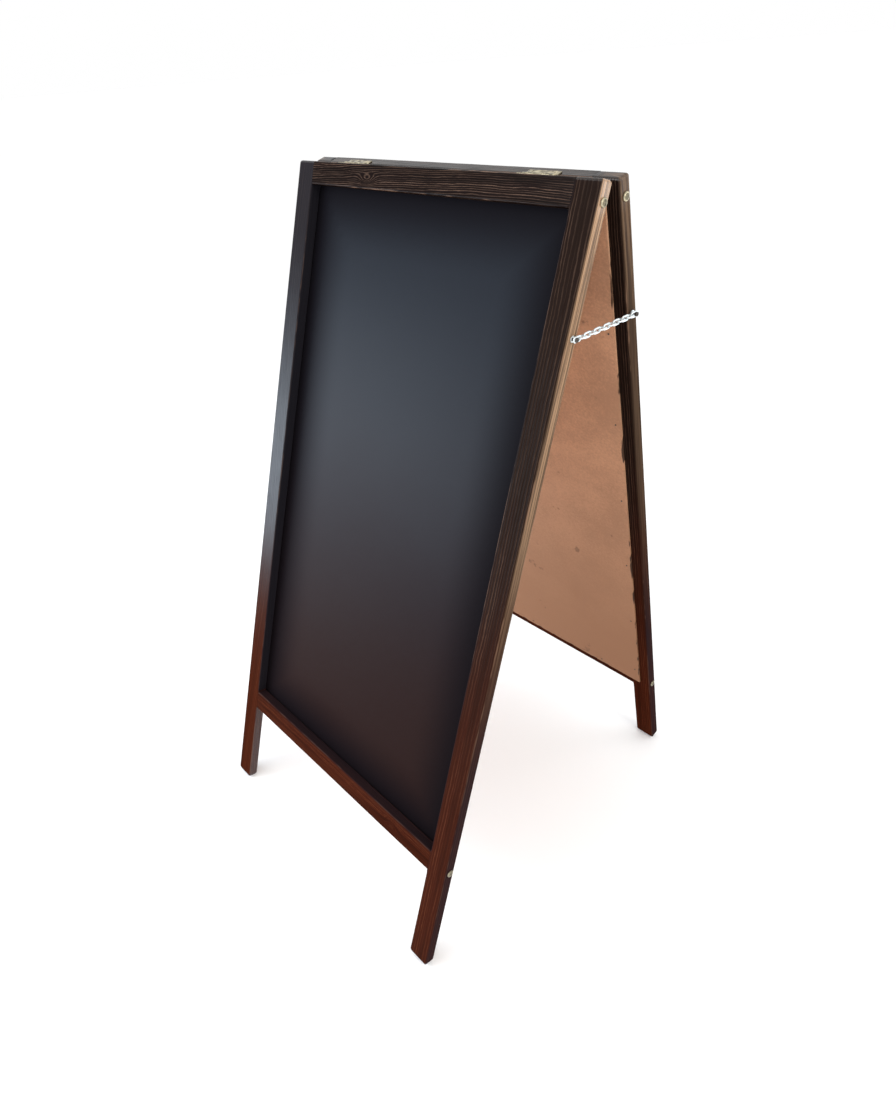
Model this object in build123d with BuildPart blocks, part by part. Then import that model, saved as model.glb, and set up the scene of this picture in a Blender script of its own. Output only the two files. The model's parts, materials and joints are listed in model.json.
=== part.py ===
from build123d import *
import os
from math import acos, cos, degrees, radians, sin

# Folding sandwich board: two timber frames with hardboard writing panels, hinged at the top and held
# open by a chain on each side. Millimetres, +Z up, origin on the ground midway between the feet.
# The front frame faces -Y and the rear frame faces +Y. Left and right are seen from the front.

# ---- Timber frames ----
board_width = 575.0  # over the outer faces of the stiles
stile_length = 1234.0
stile_width = 38.0
timber_thickness = 20.0
top_rail_height = 35.0
bottom_rail_height = 38.0
leg_length = 183.0  # stile below the bottom rail
edge_round = 2.5
top_round = 4.0  # round the stile's upper end
foot_round = 9.5  # round the stile's lower end

# ---- Writing panels, laid on the inner faces of the frames ----
panel_thickness = 3.0
panel_side_margin = 20.0  # timber left bare beside the panel
panel_top_margin = 17.0
panel_bottom_margin = 20.0
pin_radius = 0.7
pin_length = 14.0
pin_head_radius = 1.4
pin_head_height = 0.7
pin_spacing = 160.0
pin_edge_distance = 9.0  # from the panel's edge to the line of pins

# ---- Fold ----
open_half_angle = 15.8  # each frame's lean when the board stands open
frame_gap = 6.1  # from the hinge axis to the inner face of each frame

# ---- Hinges ----
hinge_length = 50.0
hinge_inset = 110.0  # from the stile's outer face to the middle of the hinge
leaf_thickness = 1.5
leaf_reach = 14.5  # from the hinge axis to the leaf's free edge
leaf_lift = 0.1  # from the leaf's upper face to the hinge axis
leaf_corner_round = 1.5
knuckle_radius = 2.8
knuckle_count = 5
knuckle_gap = 0.3
hinge_pin_radius = 1.3
hinge_pin_play = 0.05
hinge_cap_radius = 2.2
hinge_cap_height = 1.0
hinge_cap_round = 0.6
hinge_screw_spacing = 17.0

# ---- Screws ----
screw_play = 0.05  # round every screw and pin
hinge_screw_radius = 1.5
hinge_screw_length = 16.0
hinge_screw_point = 3.2  # length of the tapered end
hinge_screw_head_radius = 2.8
frame_screw_radius = 2.0
frame_screw_length = 70.0
frame_screw_point = 7.0
frame_screw_head_radius = 4.2
frame_screw_dome = 0.8
frame_screw_shoulder_radius = 2.3  # partway up the dome
frame_screw_shoulder_height = 0.58
screw_slot_width = 0.9
screw_slot_depth = 0.7
cup_radius = 6.0
cup_height = 2.2
cup_rim_height = 0.65  # upright edge on the timber
cup_turn_inset = 0.6  # where the cup's edge turns inward
cup_turn_height = 1.9
cup_lip_width = 0.3
top_screw_drop = 25.0  # from the top of the stile to the screw into the top rail

# ---- Chains ----
chain_drop = 181.0  # from the top of the stile to the chain's screw
chain_standoff = 4.8  # from the stile's outer face to the middle of the chain
wire_radius = 1.2
link_inner_width = 3.8
link_bend_radius = 2.2
nominal_link_pitch = 10.3
chain_play = 0.1  # between one link and the next
chain_screw_radius = 1.75
chain_screw_depth = 16.0
chain_screw_head_radius = 3.0
chain_screw_head_height = 2.0
chain_screw_head_round = 0.9
chain_head_play = 0.3
washer_radius = 4.2
washer_thickness = 1.0
cross_length = 3.2  # of the cross cut into the chain's screw

# ---- Places worked out from the sizes above ----
lean = radians(open_half_angle)
half_width = board_width / 2
rail_length = board_width - 2 * stile_width
mid_timber = frame_gap + timber_thickness / 2
top_drop = leaf_thickness + leaf_lift  # from the hinge axis down to the timber's top face
bottom_rail_bottom = stile_length - leg_length
bottom_rail_top = bottom_rail_bottom - bottom_rail_height
bottom_screw_drop = bottom_rail_top + bottom_rail_height / 2
panel_bottom = bottom_rail_bottom - panel_bottom_margin
panel_height = panel_bottom - panel_top_margin
panel_width = board_width - 2 * panel_side_margin
hinge_height = (stile_length - foot_round + top_drop) * cos(lean)
hinge_height += foot_round - (frame_gap + foot_round) * sin(lean)
hinge_centre = half_width - hinge_inset
knuckle_length = hinge_length / knuckle_count

# A frame's plane stands on the hinge axis: x across, y up the stiles, z out of the face.
frame_planes = {
    "front": Plane(origin=(0, 0, hinge_height), x_dir=(1, 0, 0), z_dir=(0, -cos(lean), sin(lean))),
    "rear": Plane(origin=(0, 0, hinge_height), x_dir=(-1, 0, 0), z_dir=(0, cos(lean), sin(lean))),
}
hands = {"left": -1, "right": 1}

os.makedirs("parts", exist_ok=True)


def finish(builder, name):
    """Label a finished piece and write it to its own file."""
    builder.part.label = name
    export_step(builder.part, f"parts/{name}.step")


def place(frame, across, drop, out, toward):
    """A plane at a point of a frame, dropped from the timber's top, with its normal toward a direction."""
    origin = frame.from_local_coords((across, -(top_drop + drop), out))
    normal = frame.from_local_coords(toward) - frame.origin
    return Plane(origin=origin, z_dir=normal)


def drill(places, radius, depth):
    """Cut a round blind hole below each place."""
    with Locations(*places):
        Cylinder(radius, depth, align=(Align.CENTER, Align.CENTER, Align.MAX), mode=Mode.SUBTRACT)


def spread(low, high, spacing):
    """Evenly spaced values from low to high, about spacing apart."""
    steps = max(1, round((high - low) / spacing))
    return [low + (high - low) * step / steps for step in range(steps + 1)]


# ---- Places of the fasteners ----
def frame_screw_places(frame, side, drops):
    """Where the screws enter one stile's outer face."""
    return [place(frame, side * half_width, drop, mid_timber, (side, 0, 0)) for drop in drops]


def chain_screw_place(frame, side):
    """Where the chain's screw enters one stile's outer face."""
    return place(frame, side * half_width, chain_drop, mid_timber, (side, 0, 0))


def stile_pin_places(frame, side):
    """Where the panel pins enter one stile, on the panel's inner face."""
    across = side * (panel_width / 2 - pin_edge_distance)
    inset = panel_top_margin + stile_width
    drops = spread(inset, panel_bottom - stile_width, pin_spacing)
    return [place(frame, across, drop, frame_gap - panel_thickness, (0, 0, -1)) for drop in drops]


def rail_pin_places(frame, drop):
    """Where the panel pins enter one rail, clear of the screws in its ends."""
    reach = half_width - frame_screw_length - stile_width
    across = spread(-reach, reach, pin_spacing)
    return [place(frame, x, drop, frame_gap - panel_thickness, (0, 0, -1)) for x in across]


def hinge_screw_places(frame, centre):
    """Where one hinge's screws enter the top rail, on the timber's top face."""
    out = (frame_gap + leaf_reach) / 2
    across = [centre + offset for offset in (-hinge_screw_spacing, 0, hinge_screw_spacing)]
    return [place(frame, x, 0, out, (0, 1, 0)) for x in across]


top_pin_drop = panel_top_margin + pin_edge_distance
bottom_pin_drop = panel_bottom - pin_edge_distance
pin_hole_depth = pin_length + screw_play


# ---- Timber ----
def make_stile(frame, side, name):
    """One upright of a frame, which runs down past the bottom rail as a leg."""
    with BuildPart() as stile:
        with BuildSketch(frame.offset(frame_gap)):
            with Locations((side * (half_width - stile_width / 2), -(top_drop + stile_length / 2))):
                Rectangle(stile_width, stile_length)
        extrude(amount=timber_thickness)
        up = Axis(frame.origin, frame.y_dir)
        fillet(stile.edges().filter_by(up), edge_round)
        foot = stile.faces().sort_by(up)[0].edges()
        fillet(foot, foot_round)
        top = stile.faces().sort_by(up)[-1].edges()
        fillet(top, top_round)
        drops = (top_screw_drop, bottom_screw_drop)
        drill(frame_screw_places(frame, side, drops), frame_screw_radius + screw_play, stile_width + 1)
        drill([chain_screw_place(frame, side)], chain_screw_radius + screw_play, chain_screw_depth)
        drill(stile_pin_places(frame, side), pin_radius + screw_play, pin_hole_depth)
    finish(stile, name)


def make_rail(frame, drop, height, screw_drop, pin_drop, name):
    """One cross rail between the stiles, drilled for the screws in its ends."""
    with BuildPart() as rail:
        with BuildSketch(frame.offset(frame_gap)):
            with Locations((0, -(top_drop + drop + height / 2))):
                Rectangle(rail_length, height)
        extrude(amount=timber_thickness)
        fillet(rail.edges().filter_by(Axis(frame.origin, frame.x_dir)), edge_round)
        for side in hands.values():
            hole = frame_screw_length + screw_play
            drill(frame_screw_places(frame, side, [screw_drop]), frame_screw_radius + screw_play, hole)
        drill(rail_pin_places(frame, pin_drop), pin_radius + screw_play, pin_hole_depth)
        if drop == 0:
            hole = hinge_screw_length + screw_play
            for side in hands.values():
                where = hinge_screw_places(frame, side * hinge_centre)
                drill(where, hinge_screw_radius + screw_play, hole)
    finish(rail, name)


def make_panel(frame, name):
    """The hardboard writing panel, drilled for its pins."""
    with BuildPart() as panel:
        with BuildSketch(frame.offset(frame_gap - panel_thickness)):
            with Locations((0, -(top_drop + panel_top_margin + panel_height / 2))):
                Rectangle(panel_width, panel_height)
        extrude(amount=panel_thickness)
        for side in hands.values():
            drill(stile_pin_places(frame, side), pin_radius + screw_play, pin_hole_depth)
        for drop in (top_pin_drop, bottom_pin_drop):
            drill(rail_pin_places(frame, drop), pin_radius + screw_play, pin_hole_depth)
    finish(panel, name)


# ---- Fasteners, each made upright with its seat at z = 0, then copied to its places ----
with BuildPart() as panel_pin:
    Cylinder(pin_radius, pin_length, align=(Align.CENTER, Align.CENTER, Align.MAX))
    Cylinder(pin_head_radius, pin_head_height, align=(Align.CENTER, Align.CENTER, Align.MIN))

with BuildPart() as hinge_screw:
    with BuildSketch(Plane.XZ):
        with BuildLine():
            Polyline(
                (0, leaf_thickness),
                (hinge_screw_head_radius, leaf_thickness),
                (hinge_screw_radius, leaf_lift),
                (hinge_screw_radius, leaf_thickness - hinge_screw_length + hinge_screw_point),
                (0, leaf_thickness - hinge_screw_length),
                close=True,
            )
        make_face()
    revolve(axis=Axis.Z)
    with Locations((0, 0, leaf_thickness)):
        Box(
            2 * hinge_screw_head_radius,
            screw_slot_width,
            2 * screw_slot_depth,
            mode=Mode.SUBTRACT,
        )

with BuildPart() as frame_screw:
    with BuildSketch(Plane.XZ):
        with BuildLine():
            Line((0, cup_height + frame_screw_dome), (0, -frame_screw_length))
            Polyline(
                (0, -frame_screw_length),
                (frame_screw_radius, frame_screw_point - frame_screw_length),
                (frame_screw_radius, 0),
                (frame_screw_head_radius, cup_height),
            )
            ThreePointArc(
                (frame_screw_head_radius, cup_height),
                (frame_screw_shoulder_radius, cup_height + frame_screw_shoulder_height),
                (0, cup_height + frame_screw_dome),
            )
        make_face()
    revolve(axis=Axis.Z)
    with Locations((0, 0, cup_height + frame_screw_dome)):
        Box(
            2 * frame_screw_head_radius,
            screw_slot_width,
            2 * screw_slot_depth,
            mode=Mode.SUBTRACT,
        )

cup_mouth_radius = frame_screw_head_radius + screw_play
with BuildPart() as screw_cup:
    with BuildSketch(Plane.XZ):
        with BuildLine():
            Polyline(
                (frame_screw_radius + screw_play, 0),
                (cup_radius, 0),
                (cup_radius, cup_rim_height),
            )
            Spline(
                (cup_radius, cup_rim_height),
                (cup_radius - cup_turn_inset, cup_turn_height),
                (cup_mouth_radius + cup_lip_width, cup_height),
            )
            Polyline(
                (cup_mouth_radius + cup_lip_width, cup_height),
                (cup_mouth_radius, cup_height),
                (frame_screw_radius + screw_play, 0),
            )
        make_face()
    revolve(axis=Axis.Z)

chain_head_seat = chain_standoff + wire_radius + chain_head_play
with BuildPart() as chain_screw:
    Cylinder(
        chain_screw_radius,
        chain_screw_depth + chain_head_seat,
        align=(Align.CENTER, Align.CENTER, Align.MIN),
    )
    with Locations((0, 0, chain_screw_depth + chain_head_seat)):
        Cylinder(
            chain_screw_head_radius,
            chain_screw_head_height,
            align=(Align.CENTER, Align.CENTER, Align.MIN),
        )
    fillet(chain_screw.edges().sort_by(Axis.Z)[-1], chain_screw_head_round)
    with Locations((0, 0, chain_screw_depth + chain_head_seat + chain_screw_head_height)):
        Box(cross_length, screw_slot_width, 2 * screw_slot_depth, mode=Mode.SUBTRACT)
        Box(screw_slot_width, cross_length, 2 * screw_slot_depth, mode=Mode.SUBTRACT)

with BuildPart() as washer:
    Cylinder(washer_radius, washer_thickness, align=(Align.CENTER, Align.CENTER, Align.MIN))
    Hole(chain_screw_radius + screw_play)


def make_group(prototype, places, name):
    """One node that holds a copy of a fastener at each place."""
    with BuildPart() as group:
        with Locations(*places):
            add(prototype.part)
    finish(group, name)


# ---- Frames ----
for name, frame in frame_planes.items():
    turn = 1 if name == "front" else -1  # the rear frame's own x axis runs the other way
    for hand, side in hands.items():
        make_stile(frame, turn * side, f"{name}_{hand}_stile")
    make_rail(frame, 0, top_rail_height, top_screw_drop, top_pin_drop, f"{name}_top_rail")
    make_rail(
        frame,
        bottom_rail_top,
        bottom_rail_height,
        bottom_screw_drop,
        bottom_pin_drop,
        f"{name}_bottom_rail",
    )
    make_panel(frame, f"{name}_panel")
    pins = [where for side in hands.values() for where in stile_pin_places(frame, side)]
    pins += rail_pin_places(frame, top_pin_drop) + rail_pin_places(frame, bottom_pin_drop)
    make_group(panel_pin, pins, f"{name}_panel_pins")
    drops = (top_screw_drop, bottom_screw_drop)
    screws = [where for side in hands.values() for where in frame_screw_places(frame, side, drops)]
    make_group(frame_screw, screws, f"{name}_frame_screws")
    make_group(screw_cup, screws, f"{name}_screw_cups")
    hinge_seats = [
        where for side in hands.values() for where in hinge_screw_places(frame, side * hinge_centre)
    ]
    make_group(hinge_screw, hinge_seats, f"{name}_hinge_screws")
    chain_seats = [chain_screw_place(frame, side) for side in hands.values()]
    make_group(washer, chain_seats, f"{name}_chain_washers")
    chain_screws = [seat.offset(-chain_screw_depth) for seat in chain_seats]
    make_group(chain_screw, chain_screws, f"{name}_chain_screws")


# ---- Hinges ----
def knuckle_cut(section, start, stop, radius):
    """Cut a round clearance along the hinge axis between two points of a leaf's length."""
    with Locations(section.offset(start)):
        Cylinder(
            radius,
            stop - start,
            align=(Align.CENTER, Align.CENTER, Align.MIN),
            mode=Mode.SUBTRACT,
        )


def make_leaf(frame, centre, own_first, name):
    """One leaf of a butt hinge: a plate on the timber's top face, rolled into every other knuckle."""
    low = frame.from_local_coords((centre - hinge_length / 2, 0, 0))
    section = Plane(origin=low, x_dir=frame.y_dir, z_dir=frame.x_dir)
    with BuildPart() as leaf:
        with BuildSketch(section):
            with Locations((-top_drop + leaf_thickness / 2, leaf_reach / 2)):
                Rectangle(leaf_thickness, leaf_reach)
            Circle(knuckle_radius)
        extrude(amount=hinge_length)
        up = Axis(frame.origin, frame.y_dir)
        out = Axis(frame.origin, frame.z_dir)
        fillet(leaf.edges().filter_by(up).sort_by(out)[-2:], leaf_corner_round)
        for knuckle in range(knuckle_count):
            if (knuckle % 2 == 0) == own_first:
                continue
            start = knuckle * knuckle_length - (knuckle_gap if knuckle > 0 else 1)
            stop = (knuckle + 1) * knuckle_length
            stop += knuckle_gap if knuckle < knuckle_count - 1 else 1
            knuckle_cut(section, start, stop, knuckle_radius + knuckle_gap)
        knuckle_cut(section, -1, hinge_length + 1, hinge_pin_radius + hinge_pin_play)
        with Locations(*hinge_screw_places(frame, centre)):
            Cone(
                hinge_screw_radius + screw_play,
                hinge_screw_head_radius + screw_play,
                leaf_thickness,
                align=(Align.CENTER, Align.CENTER, Align.MIN),
                mode=Mode.SUBTRACT,
            )
    finish(leaf, name)


def make_hinge_pin(centre, name):
    """The hinge's pin, with a domed cap at each end."""
    with BuildPart(Plane(origin=(centre, 0, hinge_height), z_dir=(1, 0, 0))) as pin:
        Cylinder(hinge_pin_radius, hinge_length + 2 * knuckle_gap)
        cap_offset = hinge_length / 2 + hinge_pin_play + hinge_cap_height / 2
        with Locations((0, 0, cap_offset), (0, 0, -cap_offset)):
            Cylinder(hinge_cap_radius, hinge_cap_height)
        fillet(pin.edges().group_by(Axis.X)[0], hinge_cap_round)
        fillet(pin.edges().group_by(Axis.X)[-1], hinge_cap_round)
    finish(pin, name)


for hand, side in hands.items():
    make_leaf(frame_planes["front"], side * hinge_centre, True, f"{hand}_hinge_front_leaf")
    make_leaf(frame_planes["rear"], -side * hinge_centre, False, f"{hand}_hinge_rear_leaf")
    make_hinge_pin(side * hinge_centre, f"{hand}_hinge_pin")

# ---- Chains, pulled straight between the screws ----
chain_front = frame_planes["front"].from_local_coords((0, -(top_drop + chain_drop), mid_timber))
chain_span = -2 * chain_front.Y
link_count = 2 * round((chain_span / nominal_link_pitch - 1) / 2) + 1
link_pitch = (chain_span + 2 * chain_screw_radius + chain_play) / link_count
half_length = (link_pitch + chain_play) / 2 + wire_radius
half_breadth = link_inner_width / 2 + wire_radius
first_link = -chain_span / 2 + link_pitch / 2 - chain_screw_radius - chain_play / 2

with BuildSketch() as link_outline:
    RectangleRounded(2 * half_length, 2 * half_breadth, link_bend_radius)
link_loop = link_outline.face().outer_wire()

with BuildPart() as link:
    with BuildSketch(Plane(origin=link_loop @ 0, z_dir=link_loop % 0)):
        Circle(wire_radius)
    sweep(path=link_loop)


def link_place(number, side):
    """Where a link lies: every other link stands on edge."""
    normal = (1, 0, 0) if number % 2 == 0 else (0, 0, 1)
    origin = (side * (half_width + chain_standoff), first_link + number * link_pitch, chain_front.Z)
    return Plane(origin=origin, x_dir=(0, 1, 0), z_dir=normal)


middle = link_count // 2
for hand, side in hands.items():
    runs = {
        "front_run": range(middle),
        "middle_link": [middle],
        "rear_run": range(middle + 1, link_count),
    }
    for run, numbers in runs.items():
        make_group(link, [link_place(number, side) for number in numbers], f"{hand}_chain_{run}")

# ---- How far the fold and the chains turn ----
link_hook = half_length - link_pitch  # from a link's middle back to the wire of the link before it
run_length = chain_span / 2 + link_hook
closed_span = 2 * mid_timber
hang_angle = degrees(acos((closed_span / 2 + link_hook) / run_length))
print(f"hinge height {hinge_height:.3f}, fold 0 to {2 * open_half_angle:.2f} degrees")
screw_place = f"y {chain_front.Y:.3f} z {chain_front.Z:.3f}"
print(f"chain {link_count} links, pitch {link_pitch:.3f}, screws at {screw_place}")
turns = f"run turns {open_half_angle + hang_angle:.3f}, middle {hang_angle:.3f}"
print(f"run pivots at y {link_hook:.3f}, {turns}")
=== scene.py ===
import json
from math import ceil, cos, exp, pi, radians, sin, sqrt

import bmesh
import bpy
from bpy.props import FloatProperty, FloatVectorProperty, IntProperty, PointerProperty
from mathutils import Matrix, Vector, noise


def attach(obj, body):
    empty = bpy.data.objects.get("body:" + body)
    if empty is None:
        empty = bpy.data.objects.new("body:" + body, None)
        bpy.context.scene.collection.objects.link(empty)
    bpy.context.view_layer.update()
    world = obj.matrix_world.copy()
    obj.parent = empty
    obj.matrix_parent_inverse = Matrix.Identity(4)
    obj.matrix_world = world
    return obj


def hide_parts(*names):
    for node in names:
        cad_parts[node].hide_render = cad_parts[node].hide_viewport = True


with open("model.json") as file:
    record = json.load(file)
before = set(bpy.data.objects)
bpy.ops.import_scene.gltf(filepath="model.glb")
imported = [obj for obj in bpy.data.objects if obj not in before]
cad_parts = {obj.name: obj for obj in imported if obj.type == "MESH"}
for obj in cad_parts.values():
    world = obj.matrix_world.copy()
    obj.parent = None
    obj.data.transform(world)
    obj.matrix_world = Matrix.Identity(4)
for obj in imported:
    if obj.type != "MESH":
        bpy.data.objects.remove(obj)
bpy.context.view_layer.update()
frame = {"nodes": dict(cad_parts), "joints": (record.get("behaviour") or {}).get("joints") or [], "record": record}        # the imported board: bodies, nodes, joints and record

bl_info = {
    "name": "Folding sandwich board",
    "version": (1, 0, 0),
    "blender": (4, 5, 0),
    "location": "3D View > Sidebar > Board",
    "description": "Builds the visible pieces and finishes of a folding chalk sandwich board",
    "category": "Object",
}

MM = 0.001
HANDS = ("left", "right")
FRAMES = ("front", "rear")


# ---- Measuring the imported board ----
class BoardAxes:
    """One frame's own directions: across the board, up its stiles and out of its face."""

    def __init__(self, name):
        mounts = {mount["name"]: mount for mount in frame["record"]["mounts"]}
        fold = next(joint for joint in frame["joints"] if joint["name"] == "fold")
        self.name = name
        self.body = f"{name}_frame"
        self.origin = Vector(fold["pos_m"])
        self.across = Vector((1, 0, 0))
        self.out = Vector(mounts[f"{name}_stile_face"]["axis"]).normalized()
        side = -1.0 if self.out.y < 0 else 1.0
        self.up = Vector((0, -side * self.out.z, side * self.out.y))

    def to_board(self, point):
        """A local point (across, up, out) in the board's own frame."""
        return self.origin + self.across * point[0] + self.up * point[1] + self.out * point[2]

    def box(self, node):
        """A node's lowest and highest local corners, from its mesh."""
        low, high = [1e9] * 3, [-1e9] * 3
        for vertex in frame["nodes"][node].data.vertices:
            offset = vertex.co - self.origin
            for i, direction in enumerate((self.across, self.up, self.out)):
                value = offset.dot(direction)
                low[i] = min(low[i], value)
                high[i] = max(high[i], value)
        return low, high


AXES = {name: BoardAxes(name) for name in FRAMES}


# ---- Settings a user would change ----
class TimberSettings(bpy.types.PropertyGroup):
    """Shape and finish of the stained pine."""

    arris: FloatProperty(
        name="Arris", description="Rounding of the long edges",
        default=2.5 * MM, min=0.0, unit="LENGTH",
    )
    foot_round: FloatProperty(
        name="Foot rounding", description="Rounding of each leg's lower end",
        default=9.5 * MM, min=0.0, unit="LENGTH",
    )
    top_round: FloatProperty(
        name="Top rounding", description="Rounding of each stile's upper end",
        default=4.0 * MM, min=0.0, unit="LENGTH",
    )
    joint_round: FloatProperty(
        name="Joint rounding", description="Rounding of the rail ends against the stiles",
        default=0.3 * MM, min=0.0, unit="LENGTH",
    )
    section_step: FloatProperty(
        name="Section step", description="Distance between points round a section",
        default=0.8 * MM, min=0.2 * MM, unit="LENGTH",
    )
    length_step: FloatProperty(
        name="Length step", description="Distance between sections along a piece",
        default=4.0 * MM, min=1.0 * MM, unit="LENGTH",
    )
    rail_rings: FloatProperty(
        name="Rail rings", description="Distance between growth rings in the rails",
        default=2.1 * MM, min=0.5 * MM, unit="LENGTH",
    )
    stile_rings: FloatProperty(
        name="Stile rings", description="Distance between growth rings in the stiles",
        default=3.6 * MM, min=0.5 * MM, unit="LENGTH",
    )
    relief: FloatProperty(
        name="Relief", description="Depth brushed out between the hard ring lines",
        default=0.2 * MM, min=0.0, unit="LENGTH",
    )
    waviness: FloatProperty(
        name="Waviness", description="Broad unevenness of the planed faces",
        default=0.12 * MM, min=0.0, unit="LENGTH",
    )
    stain: FloatVectorProperty(
        name="Stain", description="Colour of the stained soft wood",
        default=(0.0070, 0.0034, 0.0029), size=3, min=0.0, max=1.0, subtype="COLOR",
    )
    ridge: FloatVectorProperty(
        name="Ridge", description="Colour of the hard ring lines that stand proud",
        default=(0.120, 0.072, 0.050), size=3, min=0.0, max=1.0, subtype="COLOR",
    )
    low_stain: FloatVectorProperty(
        name="Low stain", description="Warmer stain towards the feet",
        default=(0.033, 0.0060, 0.0029), size=3, min=0.0, max=1.0, subtype="COLOR",
    )
    low_ridge: FloatVectorProperty(
        name="Low ridge", description="Warmer ring lines towards the feet",
        default=(0.150, 0.045, 0.019), size=3, min=0.0, max=1.0, subtype="COLOR",
    )
    bare: FloatVectorProperty(
        name="Rubbed wood", description="Wood where the stain is rubbed through at the edges",
        default=(0.30, 0.17, 0.11), size=3, min=0.0, max=1.0, subtype="COLOR",
    )
    # Painted light: a lighter colour on the upper outer sides of the stiles, where the light falls.
    honey: FloatVectorProperty(
        name="Painted side light", description="Painted light on the upper outer sides",
        default=(0.51, 0.315, 0.185), size=3, min=0.0, max=1.0, subtype="COLOR",
    )
    # Painted shade: a dark bluish colour on the inner sides, the lower ledge, the lower outer sides
    # and the upper left stile.
    shade: FloatVectorProperty(
        name="Painted shade", description="Painted shade on the inner sides, the lower ledge, the lower outer sides and the upper left stile",
        default=(0.0135, 0.0130, 0.0170), size=3, min=0.0, max=1.0, subtype="COLOR",
    )


class PanelSettings(bpy.types.PropertyGroup):
    """Shape and finish of the writing panels."""

    step: FloatProperty(
        name="Step", description="Distance between points over a panel",
        default=16.0 * MM, min=2.0 * MM, unit="LENGTH",
    )
    bow: FloatProperty(
        name="Bow", description="How far the sheet is out of flat",
        default=0.25 * MM, min=0.0, unit="LENGTH",
    )
    # Painted reflection: the black writing coat is tinted bluish at the top.
    black: FloatVectorProperty(
        name="Black", description="Writing coat at the top",
        default=(0.0055, 0.0074, 0.0128), size=3, min=0.0, max=1.0, subtype="COLOR",
    )
    # Painted reflection: the black writing coat is tinted warm at the foot.
    low_black: FloatVectorProperty(
        name="Low black", description="Writing coat at the foot",
        default=(0.0130, 0.0036, 0.0028), size=3, min=0.0, max=1.0, subtype="COLOR",
    )
    # Painted shade: the writing coat beside the frame, where the stiles and rails shade it.
    edge_shade_black: FloatVectorProperty(
        name="Edge black", description="Painted shade on the writing coat beside the frame",
        default=(0.0065, 0.0055, 0.0070), size=3, min=0.0, max=1.0, subtype="COLOR",
    )
    blotch: FloatVectorProperty(
        name="Blotch", description="Blotches on the bare hardboard",
        default=(0.09, 0.045, 0.028), size=3, min=0.0, max=1.0, subtype="COLOR",
    )
    smear: FloatVectorProperty(
        name="Smear", description="Stain smeared on the hardboard's edges",
        default=(0.018, 0.008, 0.005), size=3, min=0.0, max=1.0, subtype="COLOR",
    )
    hardboard: FloatVectorProperty(
        name="Hardboard", description="Bare hardboard",
        default=(0.59, 0.322, 0.190), size=3, min=0.0, max=1.0, subtype="COLOR",
    )
    low_hardboard: FloatVectorProperty(
        name="Low hardboard", description="Bare hardboard towards the foot",
        default=(0.27, 0.128, 0.066), size=3, min=0.0, max=1.0, subtype="COLOR",
    )


class MetalSettings(bpy.types.PropertyGroup):
    """Shape and finish of the hinges, screws and chains."""

    bevel: FloatProperty(
        name="Bevel", description="Softening of the metal's edges",
        default=0.18 * MM, min=0.0, unit="LENGTH",
    )
    wire_steps: IntProperty(
        name="Wire steps", description="Points round a link's wire", default=14, min=6,
    )
    weld: FloatProperty(
        name="Weld", description="How far the weld stands out of a link's wire",
        default=0.14 * MM, min=0.0, unit="LENGTH",
    )
    brass: FloatVectorProperty(
        name="Brass", description="Colour of the brass",
        default=(0.62, 0.55, 0.38), size=3, min=0.0, max=1.0, subtype="COLOR",
    )
    zinc: FloatVectorProperty(
        name="Zinc", description="Colour of the zinc plate",
        default=(0.88, 0.95, 0.97), size=3, min=0.0, max=1.0, subtype="COLOR",
    )
    # Real colour of the panel pins, and painted shade on the chain screws, whose heads sit in
    # shadow inside the end links.
    pin_steel: FloatVectorProperty(
        name="Pin steel", description="Colour of the bronzed panel pins",
        default=(0.10, 0.085, 0.075), size=3, min=0.0, max=1.0, subtype="COLOR",
    )


class StageSettings(bpy.types.PropertyGroup):
    """Camera, floor and lights."""

    camera: FloatVectorProperty(
        name="Camera", description="Where the camera stands",
        default=(0.79983, -0.81502, 1.31985), size=3, subtype="XYZ", unit="LENGTH",
    )
    target: FloatVectorProperty(
        name="Target", description="What the camera points at",
        default=(-0.20782, 0.0, 0.56849), size=3, subtype="XYZ", unit="LENGTH",
    )
    roll: FloatProperty(
        name="Roll", description="How far the camera is tipped to its right",
        default=radians(4.5285), unit="ROTATION",
    )
    lens: FloatProperty(
        name="Lens", description="Focal length in millimetres on a 36 mm sensor",
        default=23.967, min=1.0,
    )
    shift_x: FloatProperty(name="Shift X", description="Sideways lens shift", default=0.0702)
    shift_y: FloatProperty(name="Shift Y", description="Upward lens shift", default=-0.0565)
    floor: FloatVectorProperty(
        name="Floor", description="Colour of the floor",
        default=(0.94, 0.94, 0.94), size=3, min=0.0, max=1.0, subtype="COLOR",
    )
    floor_glow: FloatProperty(
        name="Floor glow", description="Light that the floor gives off itself",
        default=0.07, min=0.0,
    )
    floor_reach: FloatProperty(
        name="Floor reach", description="From the middle of the floor to its sides",
        default=200.0, min=1.0, unit="LENGTH",
    )
    sky: FloatVectorProperty(
        name="Surroundings", description="Colour of the light from all round",
        default=(1.0, 1.0, 1.0), size=3, min=0.0, max=1.0, subtype="COLOR",
    )
    sky_strength: FloatProperty(
        name="Surroundings strength", description="Strength of the light from all round",
        default=1.0, min=0.0,
    )


# ---- Shader maths ----
def plug(tree, socket, value):
    """Link a signal to a socket, or set the socket's own value."""
    if isinstance(value, Signal):
        tree.links.new(value.socket, socket)
    elif socket.type == "RGBA":
        socket.default_value = (*value, 1.0)
    else:
        socket.default_value = value


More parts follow.
